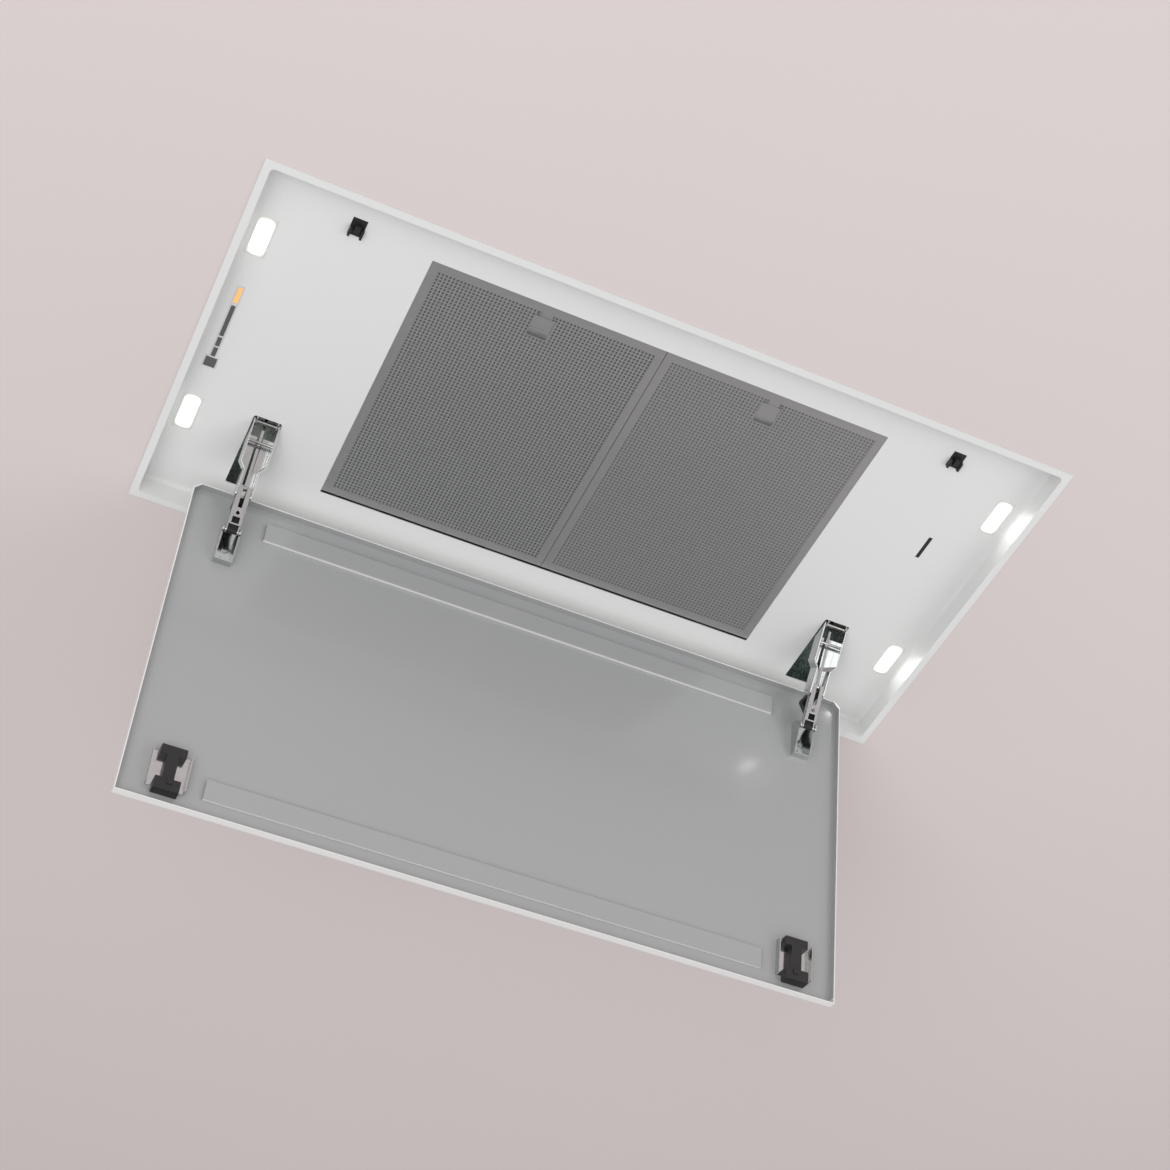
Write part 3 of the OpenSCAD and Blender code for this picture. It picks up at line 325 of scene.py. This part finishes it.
for name, place, target, size, watts in LAMPS:
    lamp = bpy.data.lights.new(name, "AREA")
    lamp.shape = "RECTANGLE"
    lamp.size, lamp.size_y = size
    lamp.energy = watts
    holder = bpy.data.objects.new(name, lamp)
    bpy.context.scene.collection.objects.link(holder)
    holder.location = place
    holder.rotation_mode = "QUATERNION"
    holder.rotation_quaternion = (Vector(target) - Vector(place)).to_track_quat("-Z", "Y")


# Camera: a plain lens at the photograph's place, below the hood, in front of its near
# left corner, and looking up.
CAMERA_PLACE = (-0.59804, -1.26146, -1.75363)
CAMERA_RIGHT = (0.90716879, -0.42076299, 0.0018133)
CAMERA_DOWN = (0.31745966, 0.68160471, -0.65926806)
CAMERA_AHEAD = (0.27615965, 0.59864306, 0.7519058)
CAMERA_LENS = 64.904
CAMERA_SENSOR = 36.0
CAMERA_SEES = (0.05, 50.0)

camera = bpy.data.objects.new("camera", bpy.data.cameras.new("camera"))
bpy.context.scene.collection.objects.link(camera)
camera.data.sensor_width = CAMERA_SENSOR
camera.data.lens = CAMERA_LENS
camera.data.clip_start, camera.data.clip_end = CAMERA_SEES
turn = Matrix((CAMERA_RIGHT, [-v for v in CAMERA_DOWN], [-v for v in CAMERA_AHEAD])).transposed()
camera.matrix_world = Matrix.Translation(CAMERA_PLACE) @ turn.to_4x4()
bpy.context.scene.camera = camera
bpy.context.scene.view_settings.view_transform = "Standard"


# Tray: one pressed steel sheet, powder coated satin white. Its rim lies on the
# ceiling, and the plate has windows for filters, hinges, catches, lamps and keys.
PAINT_WHITE = (226, 227, 226)


def dress(finish, slot, *names):
    """Gives CAD nodes a finish in their own material slots."""
    for name in names:
        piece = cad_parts[name]
        if not piece.material_slots:
            piece.data.materials.append(finish.material)
        for place in piece.material_slots:
            place.material = finish.material


paint = Finish("white_paint", PAINT_WHITE, roughness=0.38, coat_weight=0.15, coat_roughness=0.25)
paint.mottle(PAINT_WHITE, share=0.012, size=350 * MM)
paint.gloss(0.34, 0.42, size=20 * MM)
paint.ripple(size=2.2 * MM, depth=0.03 * MM, strength=0.3, detail=1.0)
dress(paint, "white_paint", "tray")


# Panel: folded steel sheet with white edges and outer face, gloss enamelled white. Its inner
# face and the tops of the two stiffeners are painted grey, as painted shade on the white.
# Painted shade: the grey stands for the white enamel in shade, on the inner face and the stiffeners' tops.
PANEL_SHADE_GREY = (166, 167, 168)
PANEL_WHITE = (232, 232, 231)
PANEL_ANGLE = math.radians(102)
PANEL_CUT = 7 * MM
PANEL_STEP = 0.15 * MM
STIFFENER_STEP = 0.5 * MM
STIFFENER_EDGE = 1.2 * MM
ENAMEL_GLOSS = (0.17, 0.24)
ENAMEL_COAT = {"coat_weight": 0.7, "coat_roughness": 0.1}
WELD_GAP = 0.01 * MM
SHARP_EDGE = math.radians(40)


def reach(name, direction):
    """Least and greatest distance of a CAD node's points along a direction."""
    marks = [direction.dot(point.co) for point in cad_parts[name].data.vertices]
    return min(marks), max(marks)


def soften(width, *names, segments=2):
    """Rounds the edges of CAD nodes as a mould or a press leaves them."""
    for name in names:
        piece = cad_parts[name]
        weld = piece.modifiers.new("weld", "WELD")
        weld.merge_threshold = WELD_GAP
        bevel = piece.modifiers.new("bevel", "BEVEL")
        bevel.width = width
        bevel.segments = segments
        bevel.limit_method = "ANGLE"
        bevel.angle_limit = SHARP_EDGE


panel_normal = Vector((0, -math.sin(PANEL_ANGLE), math.cos(PANEL_ANGLE)))
panel_down = Vector((0, -math.cos(PANEL_ANGLE), -math.sin(PANEL_ANGLE)))
panel_back, panel_rim = reach("panel", panel_normal)
panel_floor, stiffener_top = reach("panel_stiffeners", panel_normal)
hinge_edge, free_edge = reach("panel", panel_down)
panel_sheet = panel_floor - panel_back
half_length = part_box("panel")[1].x
half_width = (free_edge - hinge_edge) / 2

enamel = Finish("panel_paint", PANEL_SHADE_GREY, roughness=0.2, **ENAMEL_COAT)
# Mask of the inner face, which is painted grey as shade.
rise = enamel.along(panel_normal)
inside = rise.above(panel_floor - PANEL_STEP) * rise.below(panel_rim - PANEL_STEP)
across = abs(enamel.axes()[0])
down = abs(enamel.along(panel_down) - (hinge_edge + free_edge) / 2)
inset = panel_sheet - PANEL_STEP
inside = inside * across.below(half_length - inset) * down.below(half_width - inset)
inside = inside * (across + down).below(half_length + half_width - PANEL_CUT - panel_sheet)
# Painted shade: the inner face is greyed, and the edges and outer face keep the white.
grey = enamel.shades(PANEL_SHADE_GREY, 0.97, 1.03, size=500 * MM)
enamel.set("Base Color", inside.tint(linear(PANEL_WHITE), grey))
enamel.gloss(*ENAMEL_GLOSS, size=30 * MM)
enamel.ripple(size=20 * MM, depth=0.15 * MM, strength=0.5, detail=1.0)
dress(enamel, "panel_paint", "panel")

# Painted shade and highlight: the stiffeners' tops are greyed as shade, and their white sides show as a
# painted highlight line along their lower edges.
rib_enamel = Finish("stiffener_paint", PANEL_SHADE_GREY, roughness=0.2, **ENAMEL_COAT)
top = rib_enamel.along(panel_normal).above(stiffener_top - STIFFENER_STEP)
rib_enamel.set("Base Color", top.tint(linear(PANEL_WHITE), linear(PANEL_SHADE_GREY)))
rib_enamel.gloss(*ENAMEL_GLOSS, size=30 * MM)
dress(rib_enamel, "panel_paint", "panel_stiffeners")
soften(STIFFENER_EDGE, "panel_stiffeners", segments=3)


# Filters: aluminium frames with rolled edges round a pad of several layers of
# expanded metal, whose strands cross in a fine square net.
FRAME_GREY = (190, 191, 192)
# Painted shade: a dark tone for the rear lugs, standing for the shadow in the gap behind the filter's rear
# edge.
LUG_SHADE_DARK = (58, 58, 59)
# Painted shade: the pad's dark ground between its strands stands for the shade deep in its layers.
PAD_SHADE_DARK = (98, 99, 100)
PAD_STRAND = (164, 165, 166)
NET_GREY = (192, 193, 194)
NET_CELLS = (60, 75)
NET_STRAND = 0.62 * MM
NET_MARGIN = 8.1 * MM
NET_GAP = 0.02 * MM
NET_DEPTH = 0.75 * MM
STRAND_EDGE = 0.62
LUG_START = 1.1 * MM
GRIP_IN = 27 * MM
GRIP_HALF = (12.2 * MM, 13.2 * MM)
BOLT_HALF = 7.2 * MM

pad_low, pad_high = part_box("filter_mesh_right")
net_size = [pad_high[axis] - pad_low[axis] - 2 * NET_MARGIN for axis in range(2)]
net_pitch = net_size[0] / NET_CELLS[0]
net_middle = (pad_low + pad_high) / 2
net_back = pad_low.z - NET_GAP
grip_y = pad_low.y + GRIP_IN

frame_metal = Finish("filter_frame_metal", FRAME_GREY, roughness=0.34, metallic=0.85)
# Painted shade: the frame's rear lugs are darkened for the shadowed gap along the filter's rear edge.
shaded_lugs = frame_metal.axes()[1].above(pad_high.y + LUG_START)
drawn = frame_metal.shades(FRAME_GREY, 0.95, 1.05, size=6 * MM, stretch=(12, 1, 1))
frame_metal.set("Base Color", shaded_lugs.tint(drawn, linear(LUG_SHADE_DARK)))
frame_metal.gloss(0.28, 0.42, size=4 * MM, stretch=(10, 1, 1))
dress(
    frame_metal,
    "aluminium",
    "filter_frame_left",
    "filter_frame_right",
    "filter_latch_left",
    "filter_latch_right",
)

# The strands' net is the pad's own pattern; the dark ground between the strands is painted shade.
pad = Finish("filter_pad", PAD_SHADE_DARK, roughness=0.45, metallic=0.7)
pad_x, pad_y = pad.axes()[:2]
strand = pad_x.wave(net_pitch).above(STRAND_EDGE).either(pad_y.wave(net_pitch).above(STRAND_EDGE))
pad.set("Base Color", strand.tint(linear(PAD_SHADE_DARK), linear(PAD_STRAND)))
pad.relief(strand, depth=0.4 * MM, strength=0.8)
dress(pad, "mesh", "filter_mesh_left", "filter_mesh_right")

net_metal = Finish("filter_net_metal", NET_GREY, roughness=0.36, metallic=0.8)
net_metal.mottle(NET_GREY, share=0.12, size=4 * MM)
net_metal.gloss(0.3, 0.46, size=6 * MM)


def inside_grip(centre):
    """True for a net cell that the finger recess or the bolt's sleeve takes."""
    in_grip = abs(centre.x) < GRIP_HALF[0] and abs(centre.y - grip_y) < GRIP_HALF[1]
    in_sleeve = abs(centre.x) < BOLT_HALF and centre.y < grip_y
    return in_grip or in_sleeve


start()
bpy.ops.mesh.primitive_grid_add(x_subdivisions=NET_CELLS[0], y_subdivisions=NET_CELLS[1], size=1)
net = bpy.context.object
net.scale = (*net_size, 1)
net.location = (0, net_middle.y, net_back)
bpy.ops.object.transform_apply(location=True, rotation=True, scale=True)
pick(net, inside_grip)
bpy.ops.mesh.delete(type="FACE")
bpy.ops.mesh.select_all(action="SELECT")
bpy.ops.mesh.inset(thickness=NET_STRAND, depth=0, use_individual=True, use_even_offset=True)
bpy.ops.mesh.delete(type="FACE")
bpy.ops.mesh.select_all(action="SELECT")
bpy.ops.mesh.normals_make_consistent(inside=False)
bpy.ops.object.mode_set(mode="OBJECT")
thick = net.modifiers.new("thick", "SOLIDIFY")
thick.thickness = NET_DEPTH
thick.offset = -1.0
settle(net, "filter_net_left")
net.data.materials.append(net_metal.material)

nets = [net, net.copy()]
nets[1].data = net.data.copy()
nets[1].name = nets[1].data.name = "filter_net_right"
bpy.context.scene.collection.objects.link(nets[1])
for piece, side in zip(nets, (-1, 1)):
    piece.data.transform(Matrix.Translation((side * net_middle.x, 0, 0)))
    top = max(point.co.z for point in piece.data.vertices)
    piece.data.transform(Matrix.Translation((0, 0, net_back - top)))
    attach(piece, "filter_left" if side < 0 else "filter_right")


# Lamps: frosted lenses lit by light-emitting diodes, set flush in the plate, under
# ribbed aluminium housings.
LAMP_WHITE = (255, 253, 248)
LAMP_LIGHT = 12.0
LAMP_FADE = 8 * MM
LENS_WHITE = (220, 219, 214)
LENS_LENGTH = 51 * MM
LENS_LIP = 2 * MM
HOUSING_GREY = (176, 178, 180)

lens_low, lens_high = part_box("lamp_lens_right")
lens_middle = (lens_low + lens_high) / 2
lens_apart = (lens_high.y - lens_low.y - LENS_LENGTH) / 2

lens = Finish("lamp_lens", LENS_WHITE, roughness=0.4, emission_strength=LAMP_LIGHT)
lens_x, lens_y = lens.axes()[:2]
to_side = (lens_high.x - lens_low.x) / 2 - LENS_LIP - abs(abs(lens_x) - lens_middle.x)
to_end = LENS_LENGTH / 2 - LENS_LIP - abs(abs(lens_y - lens_middle.y) - lens_apart)
bright = (to_side / LAMP_FADE).clamped() * (to_end / LAMP_FADE).clamped()
lens.set("Base Color", lens.shades(LENS_WHITE, 0.97, 1.0, size=10 * MM))
lens.set("Emission Color", (bright * bright).tint((0, 0, 0, 1), linear(LAMP_WHITE)))
dress(lens, "lamp", "lamp_lens_left", "lamp_lens_right")

aluminium = Finish("lamp_housing_metal", HOUSING_GREY, roughness=0.38, metallic=1.0)
aluminium.mottle(HOUSING_GREY, share=0.05, size=8 * MM, stretch=(8, 1, 1))
dress(aluminium, "aluminium", "lamp_housing_left", "lamp_housing_right")


# Control strip: grey bezel with a lit amber indicator, a smoked window, two small
# keys and a square main key; the board's housing stands above. The sensor's narrow
# window sits near the other end of the plate.
BEZEL_GREY = (214, 214, 213)
AMBER = (244, 178, 104)
INDICATOR_LIGHT = 0.55
SMOKE = (92, 92, 94)
BLACK = (38, 38, 40)

bezel = Finish("control_bezel_plastic", BEZEL_GREY, roughness=0.45)
bezel.mottle(BEZEL_GREY, share=0.02, size=10 * MM)
bezel.ripple(size=0.6 * MM, depth=0.02 * MM, strength=0.3)
dress(bezel, "grey_plastic", "control_bezel")

amber = Finish("indicator_amber", AMBER, roughness=0.3, emission_strength=INDICATOR_LIGHT)
glow = amber.shades(AMBER, 0.8, 1.1, size=6 * MM)
amber.set("Base Color", glow)
amber.set("Emission Color", glow)
dress(amber, "amber", "indicator_lens")

smoke = Finish("smoked_plastic", SMOKE, roughness=0.22, coat_weight=0.3)
smoke.mottle(SMOKE, share=0.08, size=6 * MM)
dress(smoke, "dark_window", "control_window", "light_key", "fan_key", "main_key")

black = Finish("black_plastic", BLACK, roughness=0.42)
black.mottle(BLACK, share=0.12, size=4 * MM)
black.gloss(0.36, 0.5, size=3 * MM)
black.ripple(size=0.5 * MM, depth=0.02 * MM, strength=0.4)
dress(black, "black_plastic", "sensor_window", "control_board")


# Hinges: stamped nickel-plated steel arms, links, cups and carriers with turned pins, and
# gooseneck straps between the links' cheeks, painted dark as shade.
NICKEL = (205, 208, 208)
TROUGH_STEEL = (150, 158, 155)
PIN_STEEL = (190, 190, 188)
# Dark steel: the black motor's own colour, and painted shade on the goosenecks, which stand in shadow
# behind the links.
PHOSPHATE_AND_SHADE_DARK = (46, 47, 49)
STAMPED_EDGE = 0.35 * MM

nickel = Finish("nickel_plate", NICKEL, roughness=0.14, metallic=1.0)
nickel.mottle(NICKEL, share=0.12, size=8 * MM)
nickel.gloss(0.08, 0.2, size=5 * MM)
nickel.ripple(size=3 * MM, depth=0.05 * MM, strength=0.3)
dress(nickel, "nickel", "hinge_arm_left", "hinge_arm_right", "hinge_link_left", "hinge_link_right")
dress(nickel, "nickel", "hinge_cup_left", "hinge_cup_right", "carrier_left", "carrier_right")
dress(nickel, "nickel", "control_rods")
soften(STAMPED_EDGE, "hinge_arm_left", "hinge_arm_right", "hinge_link_left", "hinge_link_right")
soften(STAMPED_EDGE, "hinge_cup_left", "hinge_cup_right")

trough = Finish("trough_steel", TROUGH_STEEL, roughness=0.24, metallic=1.0)
trough.mottle(TROUGH_STEEL, share=0.3, size=14 * MM)
trough.gloss(0.16, 0.34, size=6 * MM)
trough.ripple(size=5 * MM, depth=0.1 * MM, strength=0.5)
dress(trough, "nickel", "hinge_trough_left", "hinge_trough_right")

pins = Finish("pin_steel", PIN_STEEL, roughness=0.28, metallic=1.0)
pins.mottle(PIN_STEEL, share=0.06, size=2 * MM)
dress(pins, "nickel", "carrier_pins", "arm_pins", "link_pins", "cup_pins")

# Painted shade on the goosenecks, which are darkened for the shadow they stand in; the motor's black is
# its own.
phosphate_and_shade = Finish("phosphated_steel_and_painted_shade", PHOSPHATE_AND_SHADE_DARK, roughness=0.42, metallic=0.4)
phosphate_and_shade.mottle(PHOSPHATE_AND_SHADE_DARK, share=0.15, size=4 * MM)
phosphate_and_shade.gloss(0.34, 0.52, size=2 * MM)
dress(phosphate_and_shade, "dark_steel", "goosenecks")


# Catches: moulded black touch catches with sprung plungers, set in the plate by a lip
# on its upper face, and waisted keepers on plated steel plates on the panel.
MOULDED_EDGE = 0.4 * MM

dress(black, "black_plastic", "catch_receiver_left", "catch_receiver_right")
dress(black, "black_plastic", "catch_plunger_left", "catch_plunger_right")
dress(black, "black_plastic", "keeper_left", "keeper_right")
dress(nickel, "nickel", "keeper_plates")
soften(MOULDED_EDGE, "catch_receiver_left", "catch_receiver_right", "keeper_left", "keeper_right")
soften(STAMPED_EDGE, "keeper_plates")


# Casing, duct collar and hangers above the ceiling: folded galvanised sheet with its
# crystal pattern. Zinc-plated nuts hold the casing, two aluminium flaps turn on an
# axle in the collar, and a black gland takes the mains lead into its box.
GALVANISED = (186, 190, 193)
ZINC = (196, 196, 190)
CRYSTAL = 14 * MM
CRYSTAL_SHARE = 0.6

sheet = Finish("galvanised_sheet", GALVANISED, roughness=0.36, metallic=1.0)
cloud = sheet.noise(30 * MM) * (1 - CRYSTAL_SHARE)
spangle = sheet.grains(CRYSTAL) * CRYSTAL_SHARE + cloud
sheet.set("Base Color", spangle.tint(linear(GALVANISED, 0.82), linear(GALVANISED, 1.08)))
sheet.set("Roughness", spangle.between(0.3, 0.46))
dress(sheet, "galvanised", "casing", "plenum_walls", "duct_collar", "junction_box")
dress(sheet, "galvanised", "hanger_left", "hanger_right")

zinc = Finish("zinc_plate", ZINC, roughness=0.32, metallic=1.0)
zinc.mottle(ZINC, share=0.08, size=3 * MM)
dress(zinc, "zinc", "casing_nuts", "flap_axle")
dress(aluminium, "aluminium", "flap_front", "flap_rear")
dress(black, "black_plastic", "cable_gland")


# Blower: a galvanised spiral housing, and a black motor on a sheet mount. The motor's
# shaft carries the impeller, 32 leaning coated steel blades on a disc and a ring.
IMPELLER_GREY = (108, 112, 118)

wheel = Finish("impeller_coat", IMPELLER_GREY, roughness=0.4, metallic=0.6)
wheel.mottle(IMPELLER_GREY, share=0.08, size=10 * MM)
dress(sheet, "galvanised", "blower_scroll", "motor_mount")
dress(phosphate_and_shade, "dark_steel", "blower_motor")
dress(zinc, "zinc", "motor_shaft")
dress(wheel, "impeller_steel", "impeller")
